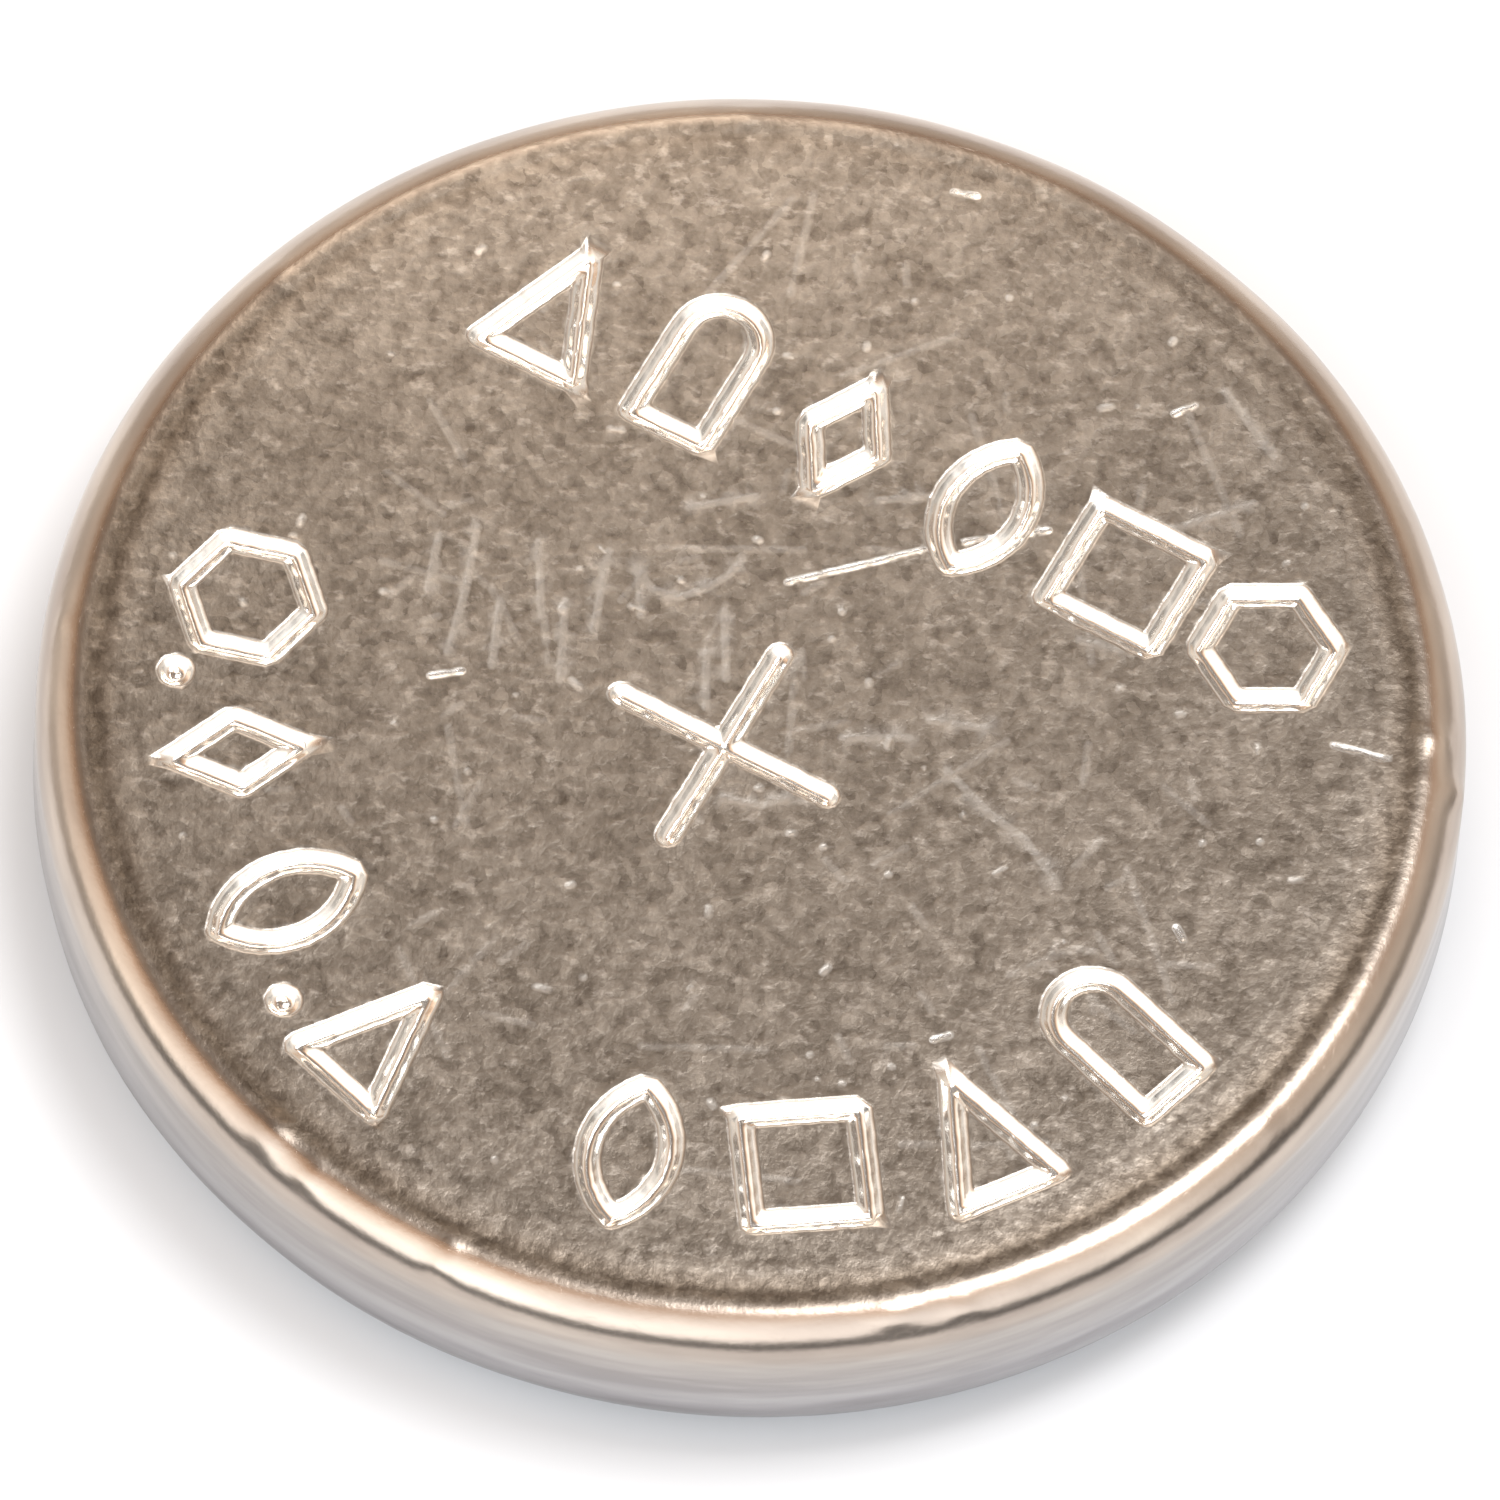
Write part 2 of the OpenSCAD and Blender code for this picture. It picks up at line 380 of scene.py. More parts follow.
# %% Turn the can's wall
CROWN = 0.05  # mm that the face falls from its middle to its edge
EDGE_DROP = 0.014  # mm more that it falls in its last stretch
EDGE_FROM = 4.95  # radius where that stretch starts
RIM_R = 5.2  # radius where the turned wall takes over from the face
GROOVES = ((5.31, 0.0035, 0.05), (5.02, 0.0018, 0.035))  # radius, depth, half width
EDGE_STEPS, SHOULDER_STEPS, WALL_STEPS, LIP_STEPS = 8, 20, 8, 18  # along the section
INSIDE_LIP_STEPS, INSIDE_BEND_STEPS, INSIDE_STEPS = 12, 8, 3
WALL_GAP = 0.08  # mm between the shoulder and the first step of the wall
INSIDE_GAP, MIDDLE_GAP = 0.1, 0.5  # mm, the same inside the wall and under the face


def face_height(radius):
    """Height of the positive face at a radius, before it is stamped."""
    fall = CROWN * (radius / FACE_R) ** 2
    t = np.clip((radius - EDGE_FROM) / (FACE_R - EDGE_FROM), 0, 1)
    height = TOP_Z - fall - EDGE_DROP * t * t
    for groove_r, groove_depth, groove_w in GROOVES:
        height = height - groove_depth * np.exp(-(((radius - groove_r) / groove_w) ** 2))
    return height


shoulder_z = float(face_height(FACE_R))
inner_r, inner_z = CAN_R - CAN_T, TOP_Z - CAN_T  # the inside of the wall and of the face
lip_centre = (CAN_R - LIP_R, LIP_Z + LIP_R)
edge_radii = np.linspace(RIM_R, FACE_R, EDGE_STEPS + 1)[:-1]
wall_section = (
    [(float(r), float(face_height(r))) for r in edge_radii]
    + arc((FACE_R, shoulder_z - SHOULDER_R), SHOULDER_R, 90, 0, SHOULDER_STEPS)
    + line((CAN_R, shoulder_z - SHOULDER_R - WALL_GAP), (CAN_R, lip_centre[1]), WALL_STEPS)
    + arc(lip_centre, LIP_R, 0, -LIP_TURN, LIP_STEPS)
    + arc(lip_centre, LIP_R - CAN_T, -LIP_TURN, 0, INSIDE_LIP_STEPS)
    + line((inner_r, lip_centre[1] + INSIDE_GAP), (inner_r, TOP_Z - SHOULDER_R), INSIDE_STEPS)
    + arc((FACE_R, TOP_Z - SHOULDER_R), SHOULDER_R - CAN_T, 0, 90, INSIDE_BEND_STEPS)
    + line((FACE_R - MIDDLE_GAP, inner_z), (0, inner_z), INSIDE_STEPS)
    + [(0, inner_z)]
)
wall_mesh = turned("can_wall", wall_section, can_finish, closed=False)
print("wall:", len(wall_mesh.vertices), "points")

# %% [markdown]
# ## A handled rim
#
# A drawn rim is never a perfect curve, and cells rattle against each other in
# a tray, which throws up small burrs. So the shoulder is moved by a few
# microns of slow noise, mostly outwards, which makes its highlights waver,
# and each burr is a soft swelling at an angle round the rim. Nothing may pass
# the can's own radius, so the upright wall stays true. The wall also gets the
# attribute "rim", which tells the finish where the tools and other cells have
# rubbed it bright.

# %% Wear the rim
WAVER = 0.009  # mm, the slow waviness of the rim
RIPPLE = 0.0012  # mm, the fine one
SLOW, FINE = 0.9, 5.0  # waves of each in a millimetre
BURR_REACH = 8  # degrees to either side, past which a burr has faded out
BURRS = (  # angle in degrees, place up the wall in mm, height, half length, half width
    (-106, 1.97, 0.03, 0.16, 0.07),
    (-101, 1.93, 0.022, 0.1, 0.06),
    (-87.7, 1.9, 0.03, 0.09, 0.1),
    (-49.7, 1.93, 0.02, 0.2, 0.05),
    (-44, 1.9, 0.015, 0.1, 0.05),
    (-13.5, 1.95, 0.012, 0.12, 0.05),
    (22.7, 1.8, 0.035, 0.12, 0.12),
    (27, 1.95, 0.02, 0.1, 0.06),
    (119, 1.97, 0.012, 0.15, 0.05),
    (163, 1.96, 0.014, 0.12, 0.05),
    (201, 1.9, 0.012, 0.1, 0.05),
)
FACE_WAVER = RIM_R + 0.03, FACE_R + 0.1  # radii between which the waviness sets in
LIP_WAVER = CAN_R - LIP_R - 0.1, CAN_R - LIP_R + 0.3  # and dies away again under the lip
FACE_SHINE = FACE_R - 0.02, FACE_R + 0.16  # radii between which the rim turns bright
SHOULDER_DEEP = 0.5  # mm below the face, from where the wall is bright all over
INSIDE_SHINE = 0.6  # how bright the can is inside, where nothing rubs it


def outward(section):
    """Unit normals along an open half section, to the left of its direction of travel."""
    points = np.array(section)
    along = np.gradient(points, axis=0)
    normals = np.stack([-along[:, 1], along[:, 0]], axis=1)
    return normals / np.linalg.norm(normals, axis=1)[:, None]


def blend(value, low, high):
    """0 below low, 1 above high and a smooth rise between them."""
    t = np.clip((value - low) / (high - low), 0, 1)
    return t * t * (3 - 2 * t)


section = np.array(wall_section)
wall_from = EDGE_STEPS + SHOULDER_STEPS + 1  # where the upright wall starts in the section
outer_count = wall_from + WALL_STEPS + LIP_STEPS + 1  # the part that is outside
normals = outward(wall_section)
wall = np.array([vertex.co for vertex in wall_mesh.vertices]).reshape(SEGMENTS, len(section), 3)
free = blend(section[:, 0], *FACE_WAVER)  # how freely each point of the section moves
free[outer_count:] = 0
low_side = section[:, 1] < lip_centre[1]
free[low_side] *= blend(section[low_side, 0], *LIP_WAVER)
rim = blend(section[:, 0], *FACE_SHINE)
rim[outer_count:] = INSIDE_SHINE
rim[:outer_count][section[:outer_count, 1] < TOP_Z - SHOULDER_DEEP] = 1.0
for ring in wall:
    angle = math.degrees(math.atan2(ring[0, 1], ring[0, 0]))
    heading = np.array([math.cos(math.radians(angle)), math.sin(math.radians(angle))])
    for j in range(1, outer_count):
        if free[j] == 0:
            continue
        at = Vector(ring[j])
        push = -WAVER * noise.noise(at * SLOW) - RIPPLE * noise.noise(at * FINE)
        for burr_angle, z, burr_height, half_long, half_wide in BURRS:
            apart = (angle - burr_angle + 180) % 360 - 180
            if abs(apart) < BURR_REACH:
                along = math.radians(apart) * CAN_R / half_long
                push += burr_height * math.exp(-(along**2) - ((at.z - z) / half_wide) ** 2)
        push = (push + WAVER / 2) * free[j]
        ring[j, :2] += heading * normals[j, 0] * push
        ring[j, 2] += normals[j, 1] * push
radii = np.hypot(wall[..., 0], wall[..., 1])
wall[..., :2] *= np.minimum(1.0, CAN_R / np.maximum(radii, WELD))[..., None]
wall_mesh.vertices.foreach_set("co", wall.ravel())
wall_mesh.attributes.new("rim", "FLOAT", "POINT").data.foreach_set(
    "value", np.tile(rim, SEGMENTS).astype(np.float32)
)
wall_mesh.attributes.new("burnish", "FLOAT", "POINT")
rim_points = wall[:, 0, :2]
held = (radii[:, wall_from : wall_from + WALL_STEPS] > CAN_R).mean()
print(f"{len(BURRS)} burrs; {held:.0%} of the upright wall held at the can's radius")

# %% [markdown]
# ## The stamped marks
#
# The face is stamped with a plus for the positive pole and with rows of
# plain outlines. Only the middle lines of the strokes are drawn here, as
# polylines in the plane of the face. A Geometry Nodes tree then presses them
# in: it measures how far each point of the face lies from the nearest line
# and lowers it along the punch's profile. It also stores how burnished each
# point is, so the finish can be brighter where the punch rubbed.

# %% Shapes of the marks
STROKE_W = 0.2  # sizes in mm and turns in degrees, most of them as in the CAD source
STAMP_DEPTH = 0.07
NOSE_W = 0.044  # width of the flat on the punch's nose
RIDGE_H = 0.003  # metal that wells up beside a stroke
MARK_H = 1.45
BROAD_W, SLIM_W = 1.16, 0.86  # widths of the broad and the slim marks
CROSS_L, CROSS_AT = 2.1, (-0.03, -0.44)
ROW_X, ROW_PITCH = 0.12, 1.3
ROW_MARGIN, ARC_MARGIN = 0.28, 0.48  # from the row and the arcs to the edge of the face
ARC_PITCH = 19.5
RIGHT_ARC_AT, LEFT_ARC_AT = -46, 225
DOT_D = 0.3


def drawn_in(corners, centre, touch_r):
    """Corners moved in by half a stroke, towards the centre of the circle their sides touch."""
    keep = 1 - STROKE_W / 2 / touch_r
    return [
        (centre[0] + keep * (x - centre[0]), centre[1] + keep * (y - centre[1]))
        for x, y in corners
    ]


def triangle():
    touch_r = BROAD_W * MARK_H / (BROAD_W + math.hypot(BROAD_W, 2 * MARK_H))
    corners = [(-BROAD_W / 2, -MARK_H / 2), (BROAD_W / 2, -MARK_H / 2), (0, MARK_H / 2)]
    return drawn_in(corners, (0, touch_r - MARK_H / 2), touch_r)


def lozenge():
    touch_r = SLIM_W * MARK_H / math.hypot(SLIM_W, MARK_H) / 2
    corners = [(SLIM_W / 2, 0), (0, MARK_H / 2), (-SLIM_W / 2, 0), (0, -MARK_H / 2)]
    return drawn_in(corners, (0, 0), touch_r)


def square():
    half = BROAD_W / 2
    return drawn_in([(-half, -half), (half, -half), (half, half), (-half, half)], (0, 0), half)


def hexagon():
    radius = (BROAD_W - STROKE_W) / 2 / math.cos(math.pi / 6)
    return [
        (radius * math.sin(a), radius * math.cos(a)) for a in np.radians(range(0, 360, 60))
    ]


def leaf():
    bow_r = (SLIM_W**2 + MARK_H**2) / (4 * SLIM_W)
    centre_x, radius = bow_r - SLIM_W / 2, bow_r - STROKE_W / 2
    half = math.degrees(math.acos(centre_x / radius))
    right = arc((-centre_x, 0), radius, -half, half, 12)
    left = arc((centre_x, 0), radius, 180 - half, 180 + half, 12)
    return right[:-1] + left[:-1]


def arch():
    half, foot = (SLIM_W - STROKE_W) / 2, (STROKE_W - MARK_H) / 2
    return [(-half, foot), (half, foot)] + arc((0, (MARK_H - SLIM_W) / 2), half, 0, 180, 14)


# %% Places of the marks
ARC_R = FACE_R - ARC_MARGIN - MARK_H / 2  # radius through the middles of the marks


def placed(points, turn_degrees, x, y):
    c, s = math.cos(math.radians(turn_degrees)), math.sin(math.radians(turn_degrees))
    return [(x + px * c - py * s, y + px * s + py * c) for px, py in points]


def arc_of_marks(shapes, direction):
    """Marks side by side in an arc, with their heads towards the middle of the face."""
    lines = []
    for i, shape in enumerate(shapes):
        at = direction + (i - (len(shapes) - 1) / 2) * ARC_PITCH
        x, y = ARC_R * math.cos(math.radians(at)), ARC_R * math.sin(math.radians(at))
        lines.append(placed(shape(), at + 90, x, y))
    return lines


row_shapes = [triangle, arch, lozenge, leaf, square, hexagon]
row_reach = ((len(row_shapes) - 1) * ROW_PITCH + BROAD_W) / 2 + abs(ROW_X)
row_y = math.sqrt((FACE_R - ROW_MARGIN) ** 2 - row_reach**2) - MARK_H / 2
outlines = [
    placed(shape(), 0, ROW_X + (i - (len(row_shapes) - 1) / 2) * ROW_PITCH, row_y)
    for i, shape in enumerate(row_shapes)
]
outlines += arc_of_marks([leaf, square, triangle, arch], RIGHT_ARC_AT)
outlines += arc_of_marks([hexagon, lozenge, leaf, triangle], LEFT_ARC_AT)
dot_r = ARC_R + MARK_H / 3
for side in (-1, 1):
    at = math.radians(LEFT_ARC_AT + side * ARC_PITCH)
    ring = arc((dot_r * math.cos(at), dot_r * math.sin(at)), (DOT_D - STROKE_W) / 2, 0, 360, 8)
    outlines.append(ring[:-1])
bar = (CROSS_L - STROKE_W) / 2
bars = [[(CROSS_AT[0] - bar, CROSS_AT[1]), (CROSS_AT[0] + bar, CROSS_AT[1])]]
bars += [[(CROSS_AT[0], CROSS_AT[1] - bar), (CROSS_AT[0], CROSS_AT[1] + bar)]]
strokes = [points + points[:1] for points in outlines] + bars
print(len(outlines), "outlines and", len(bars), "bars")

# %% [markdown]
# ## Scratches
#
# The face has been slid about, so it carries scratches. The ones that the eye
# finds first are drawn one by one, and a seeded random generator adds the
# small flecks and hairlines between them. They are pressed in by the same
# tree as the marks, only far less deep.

# %% Scratches and flecks
SCORED = [
    [(-0.29, 1.13), (0.53, 1.94)],
    [(0.78, 2.17), (1.32, 2.6)],
    [(4.26, 2.02), (4.66, 2.11)],
    [(-2.4, -1.05), (-2.2, -0.89)],
    [(1.7, 4.07), (1.8, 4.22)],
    [(-0.84, 5.0), (-0.66, 5.06)],
    [(2.72, -1.96), (2.81, -1.86)],
    [(3.94, -0.09), (4.04, -0.16)],
]
RUBBED = [
    [(-1.43, 0.65), (-1.22, 0.53), (-0.99, 0.57), (-0.84, 0.75), (-0.74, 0.95), (-0.71, 1.14)],
    [(-2.96, 0.12), (-2.8, -0.37)],
    [(-2.73, 0.34), (-2.53, -0.22), (-2.38, -0.8)],
    [(-2.23, 0.46), (-1.88, -0.13)],
    [(-1.69, 0.67), (-1.45, -0.04)],
    [(-1.42, 0.66), (-1.18, 0.27)],
    [(-0.61, 0.64), (-0.3, 0.1)],
    [(-0.56, 0.24), (-0.32, -0.21)],
    [(-1.32, 1.34), (-0.89, 1.7)],
    [(-0.01, 2.16), (0.32, 2.39)],
    [(1.65, 0.25), (2.11, 0.08), (2.49, 0.01), (2.88, -0.2)],
    [(0.77, 0.09), (1.25, 0.36)],
    [(0.2, -0.86), (0.5, -0.78), (0.65, -0.6)],
    [(1.96, 4.46), (2.58, 4.12)],
    [(2.18, 3.1), (2.65, 3.66)],
    [(-2.24, -0.17), (-2.01, -0.73)],
    [(-1.78, 0.09), (-1.47, -0.57)],
    [(1.31, 0.58), (1.74, 0.74)],
    [(2.02, 1.83), (2.42, 1.95)],
]
chance = np.random.default_rng(11)


def random_lines(count, shortest, longest, reach):
    """Short straight lines strewn over the face, most of them near the shortest length."""
    lines = []
    for _ in range(count):
        radius = reach * math.sqrt(chance.random())
        at = 2 * math.pi * chance.random()
        x, y = radius * math.cos(at), radius * math.sin(at)
        length = shortest + (longest - shortest) * chance.random() ** 3
        way = math.pi * chance.random()
        dx, dy = length / 2 * math.cos(way), length / 2 * math.sin(way)
        lines.append([(x - dx, y - dy), (x + dx, y + dy)])
    return lines


flecks = random_lines(70, 0.01, 0.12, 4.9)
hairlines = random_lines(80, 0.15, 1.4, 4.4)
print(len(flecks), "flecks and", len(hairlines), "hairlines")

# %% [markdown]
# ## Points for the face
#
# A groove a fifth of a millimetre wide needs points every few hundredths of
# a millimetre, and the plain face between the grooves needs hardly any. So
# the points follow the strokes in rows, a coarse grid fills the rest, and a
# Delaunay triangulation joins them all.

# %% Gather the points
ALONG = 0.032  # spacing of the points along a stroke
ROWS = (0, 0.022, 0.048, 0.074, 0.1, 0.125, 0.16)  # their distances from its middle
SCRATCH_ROWS = (0, 0.022, 0.045)
RINGS = np.arange(4.93, 5.13, 0.022)  # radii of rings of points round the inner groove
RING_ALONG = 0.08  # spacing of the points along them
GRID = 0.13  # spacing of the points away from the strokes
GRID_ROW = 0.87  # of GRID, between its rows, for triangles with even sides
CLEAR = 0.05  # kept free beside the strokes' last row and inside the edge of the wall
NEAREST = 0.019  # no two points are closer than this
INSIDE_ONLY, SAME_POINT = 1, 1e-6  # how the triangulation fills and merges


def resampled(points, spacing):
    """Points at an even spacing along a polyline, and the direction at each."""
    places, headings = [], []
    for (x0, y0), (x1, y1) in zip(points, points[1:]):
        length = math.hypot(x1 - x0, y1 - y0)
        steps = max(1, round(length / spacing))
        for i in range(steps + 1):
            places.append((x0 + (x1 - x0) * i / steps, y0 + (y1 - y0) * i / steps))
            headings.append(((x1 - x0) / length, (y1 - y0) / length))
    return places, headings


def segment_distance(xy, lines):
    """Distance of each point to the nearest of the polylines."""
    best = np.full(len(xy), np.inf)
    for points in lines:
        for a, b in zip(points, points[1:]):
            a, b = np.array(a), np.array(b)
            t = np.clip(((xy - a) @ (b - a)) / ((b - a) @ (b - a)), 0, 1)
            best = np.minimum(best, np.linalg.norm(xy - a - t[:, None] * (b - a), axis=1))
    return best


def beside(lines, rows):
    """Points in rows along both sides of the lines and round their ends."""
    found = []
    for points in lines:
        places, headings = resampled(points, ALONG)
        for gap in rows:
            for (x, y), (hx, hy) in zip(places, headings):
                found += [(x - hy * gap, y + hx * gap), (x + hy * gap, y - hx * gap)]
        for end in (points[0], points[-1]):
            for gap in rows[1:]:
                found += arc(end, gap, 0, 330, 11)
    return found


def spread(points):
    """The points in their order, without those too close to one already kept."""
    taken, cells = [], {}
    for x, y in points:
        column, row = int(x // NEAREST), int(y // NEAREST)
        around = [cells.get((column + i, row + j)) for i in (-1, 0, 1) for j in (-1, 0, 1)]
        if any(p and math.hypot(p[0] - x, p[1] - y) < NEAREST for p in around):
            continue
        cells[column, row] = (x, y)
        taken.append((x, y))
    return taken


reach = int(RIM_R / GRID) + 1
grid = np.array(
    [
        (GRID * (i + 0.5 * (j % 2)), GRID * GRID_ROW * j)
        for i in range(-reach, reach + 1)
        for j in range(-reach - 2, reach + 3)
    ]
)
scratches = SCORED + flecks + RUBBED + hairlines
clear = segment_distance(grid, strokes) > ROWS[-1] + CLEAR
points = beside(strokes, ROWS) + beside(scratches, SCRATCH_ROWS)
for ring_r in RINGS:
    points += arc((0, 0), ring_r, 0, 360, int(2 * math.pi * ring_r / RING_ALONG))
points += grid[clear].tolist()
kept = [p for p in spread(points) if math.hypot(*p) < RIM_R - CLEAR]
rim_count = len(rim_points)
corners = [Vector(p) for p in rim_points.tolist()] + [Vector(p) for p in kept]
rim_edges = [(i, (i + 1) % rim_count) for i in range(rim_count)]
flat, _, triangles, _, _, _ = delaunay_2d_cdt(corners, rim_edges, [], INSIDE_ONLY, SAME_POINT)
print(len(flat), "points and", len(triangles), "triangles in the face")

# %% [markdown]
# ## Pressing the marks in
#
# The punch has a narrow nose and sloping flanks, so a stroke is a trough with
# a narrow floor, and a little metal wells up beside it. One noise frays the
# edges of a stroke and a slower one lets its depth swing along its length,
# because no punch presses quite evenly.

# %% The stamping tree
FRAY_SCALE, UNEVEN_SCALE = 7.0, 0.9  # waves in a millimetre
RIDGE_REACH = 1.7  # of a stroke's half width, where the ridge ends

stamp, stamp_in, stamp_out = new_tree(
    "stamp",
    [
        ("Face", "NodeSocketGeometry"),
        ("Lines", "NodeSocketObject"),
        ("Depth", "NodeSocketFloat"),
        ("Floor half width", "NodeSocketFloat"),
        ("Stroke half width", "NodeSocketFloat"),
        ("Ridge height", "NodeSocketFloat"),
        ("Unevenness", "NodeSocketFloat"),
        ("Raggedness", "NodeSocketFloat"),
        ("Burnish", "NodeSocketFloat"),
        ("Finish", "NodeSocketMaterial"),
    ],
)
given = stamp_in.outputs
lines_in = add(stamp, "GeometryNodeObjectInfo", {"Object": given["Lines"]})
place = add(stamp, "GeometryNodeInputPosition")
level = add(stamp, VECTOR_MATH, [place, (1, 1, 0)], operation="MULTIPLY")
nearest = add(
    stamp,
    "GeometryNodeProximity",
    {0: lines_in.outputs["Geometry"], "Sample Position": level},
    target_element="EDGES",
)
fray = add(stamp, NOISE, {"Vector": level, "Scale": FRAY_SCALE, "Detail": 2.0})
frayed = add(stamp, MATH, [fray, 0.5], operation="SUBTRACT")
apart = add(
    stamp,
    MATH,
    [frayed, given["Raggedness"], nearest.outputs["Distance"]],
    operation="MULTIPLY_ADD",
)
flank = add(
    stamp,
    MAP_RANGE,
    [apart, given["Floor half width"], given["Stroke half width"], 1.0, 0.0],
    interpolation_type="LINEAR",
)
uneven = add(stamp, NOISE, {"Vector": level, "Scale": UNEVEN_SCALE, "Detail": 1.0})
swing = add(stamp, MATH, [uneven, 0.5], operation="SUBTRACT")
amount = add(stamp, MATH, [swing, given["Unevenness"], 1.0], operation="MULTIPLY_ADD")
depth = add(stamp, MATH, [amount, given["Depth"]], operation="MULTIPLY")
pressed = add(stamp, MATH, [depth, flank], operation="MULTIPLY")
beyond = add(stamp, MATH, [apart, given["Stroke half width"]], operation="DIVIDE")
ridge = add(
    stamp, MAP_RANGE, [beyond, 1.0, RIDGE_REACH, 1.0, 0.0], interpolation_type="SMOOTHERSTEP"
)
outside = add(stamp, MAP_RANGE, [beyond, 0.85, 1.1])
welled = add(stamp, MATH, [ridge, outside], operation="MULTIPLY")
raised = add(stamp, MATH, [welled, given["Ridge height"]], operation="MULTIPLY")
lift = add(stamp, MATH, [raised, pressed], operation="SUBTRACT")
offset = add(stamp, "ShaderNodeCombineXYZ", {"Z": lift})
moved = add(stamp, "GeometryNodeSetPosition", {"Geometry": given["Face"], "Offset": offset})
before = add(stamp, "GeometryNodeInputNamedAttribute", {"Name": "burnish"}, data_type="FLOAT")
touched = add(stamp, MAP_RANGE, [beyond, 1.25, 0.8])
rubbing = add(stamp, MATH, [touched, given["Burnish"]], operation="MULTIPLY")
rubbed = add(stamp, MATH, [before, rubbing], operation="MAXIMUM")
stored = add(
    stamp,
    "GeometryNodeStoreNamedAttribute",
    {"Geometry": moved, "Name": "burnish", "Value": rubbed},
    data_type="FLOAT",
    domain="POINT",
)
finish_tree(stamp, stamp_in, stamp_out, stored)


# %% Stamp the face
def line_object(name, lines):
    """Polylines as one object made of edges, for the tree to measure from."""
    points, edges = [], []
    for stroke in lines:
        start = len(points)
        points += [(x, y, 0) for x, y in stroke]
        edges += [(start + i, start + i + 1) for i in range(len(stroke) - 1)]
    mesh = bpy.data.meshes.new(name)
    mesh.from_pydata(points, edges, [])
    return in_scene(name, mesh)


def stamped(mesh, lines, **sizes):
    """The mesh with these lines pressed into it."""
    piece = in_scene("face_blank", mesh)
    guide = line_object("stroke_lines", lines)
    inputs = {name.replace("_", " ").capitalize(): value for name, value in sizes.items()}
    result = grown(piece, stamp, {"Lines": guide, "Finish": can_finish} | inputs)
    bpy.data.objects.remove(piece)
    bpy.data.objects.remove(guide)
    return result


face_mesh = bpy.data.meshes.new("can_face")
heights = face_height(np.array([point.length for point in flat]))
face_mesh.from_pydata(
    [(point.x, point.y, z) for point, z in zip(flat, heights)], [], [list(t) for t in triangles]
)
face_mesh = stamped(
    face_mesh,
    strokes,
    depth=STAMP_DEPTH,
    floor_half_width=NOSE_W / 2,
    stroke_half_width=STROKE_W / 2,
    ridge_height=RIDGE_H,
    unevenness=0.5,
    raggedness=0.03,
    burnish=1.0,
)
for lines, press, half_width, shine in (  # both sizes in mm
    (SCORED, 0.004, 0.026, 0.8),
    (flecks, 0.003, 0.022, 0.35),
    (RUBBED, 0.0012, 0.04, 0.18),
    (hairlines, 0.0008, 0.026, 0.1),
):
    face_mesh = stamped(
        face_mesh,
        lines,
        depth=press,
        floor_half_width=0.0,
        stroke_half_width=half_width,
        ridge_height=press / 4,
        unevenness=1.2,
        raggedness=2 * half_width,
        burnish=shine,
    )
face_mesh.attributes.new("rim", "FLOAT", "POINT")

# %% Weld the face to the wall
weld = bmesh.new()
weld.from_mesh(wall_mesh)
weld.from_mesh(face_mesh)
can_mesh = bpy.data.meshes.new("positive_can_stamped")
weld.to_mesh(can_mesh)
weld.free()
piece_from(can_mesh, "positive_can_stamped", "positive_can", can_finish)

# %% [markdown]
# ## Nickel plated steel
#
# The can is steel strip with a satin nickel plating, then drawn and handled.
# The eye meets three kinds of surface on it. The flat face is dull, mottled
# and finely streaked by the rolls. The strokes and the rim are bright, since
# the punch and the die have burnished them. Close inside the rim lies a ring
# of painted shade, which fades out towards one side, with a lighter painted
# ring just inside it. A texture could hold all that, but noise at the sizes
# of the real grain does it at any distance, and the two attributes of the
# mesh say where the metal is bright.

# %% Coordinates in millimetres
def in_millimetres(tree, scale=(1, 1, 1), turn=0.0):
    """The place on the object in mm, turned about Z and stretched, for noise to read."""
    place = add(tree, "ShaderNodeTexCoord")
    turned_place = add(
        tree, "ShaderNodeMapping", {"Vector": place.outputs["Object"], "Rotation": (0, 0, turn)}
    )
    sized = [factor / MM for factor in scale]
    return add(tree, VECTOR_MATH, [turned_place, sized], operation="MULTIPLY")


# %% The end of every material
def finish_material(material, settings):
    """Gives a material its shader and says how many nodes it took."""
    tree = material.node_tree
    surface = add(tree, "ShaderNodeBsdfPrincipled", settings)
    add(tree, "ShaderNodeOutputMaterial", {"Surface": surface})
    print(f"{material.name}: {len(tree.nodes)} nodes")


# %% The grain of the can's face
MOTTLE, FLAKE, CLOUD = 0.13, 0.11, 0.62  # mm, sizes of the face's patches
STREAK_LONG, STREAK_WIDE = 0.15, 0.09  # mm
ROLLED_AT = math.radians(-24.3)  # the way that the strip ran through the rolls
FLAKE_SHARE, STREAK_SHARE = 0.25, 0.45  # of the flakes and of the streaks, beside the mottle
GRAIN_LEVEL = 0.48  # brings the middle of their sum back to about a half
tree = can_finish.node_tree
streaks = []
for turn in (ROLLED_AT, math.pi / 2 + ROLLED_AT):
    stretched = in_millimetres(tree, (1 / STREAK_WIDE, 1 / STREAK_LONG, 1 / STREAK_WIDE), turn)
    drawn = add(tree, NOISE, {"Vector": stretched, "Scale": 1.0, "Detail": 3.0, "Roughness": 0.6})
    streaks.append(drawn)
place_mm = in_millimetres(tree)
mottle = add(
    tree, NOISE, {"Vector": place_mm, "Scale": 1 / MOTTLE, "Detail": 4.0, "Roughness": 0.62}
)
stirred = add(
    tree,
    VECTOR_MATH,
    [mottle.outputs["Color"], (FLAKE, FLAKE, FLAKE), place_mm],
    operation="MULTIPLY_ADD",
)
flakes = add(tree, "ShaderNodeTexVoronoi", {"Vector": stirred, "Scale": 1 / FLAKE})
flake = add(tree, "ShaderNodeSeparateColor", [flakes.outputs["Color"]])
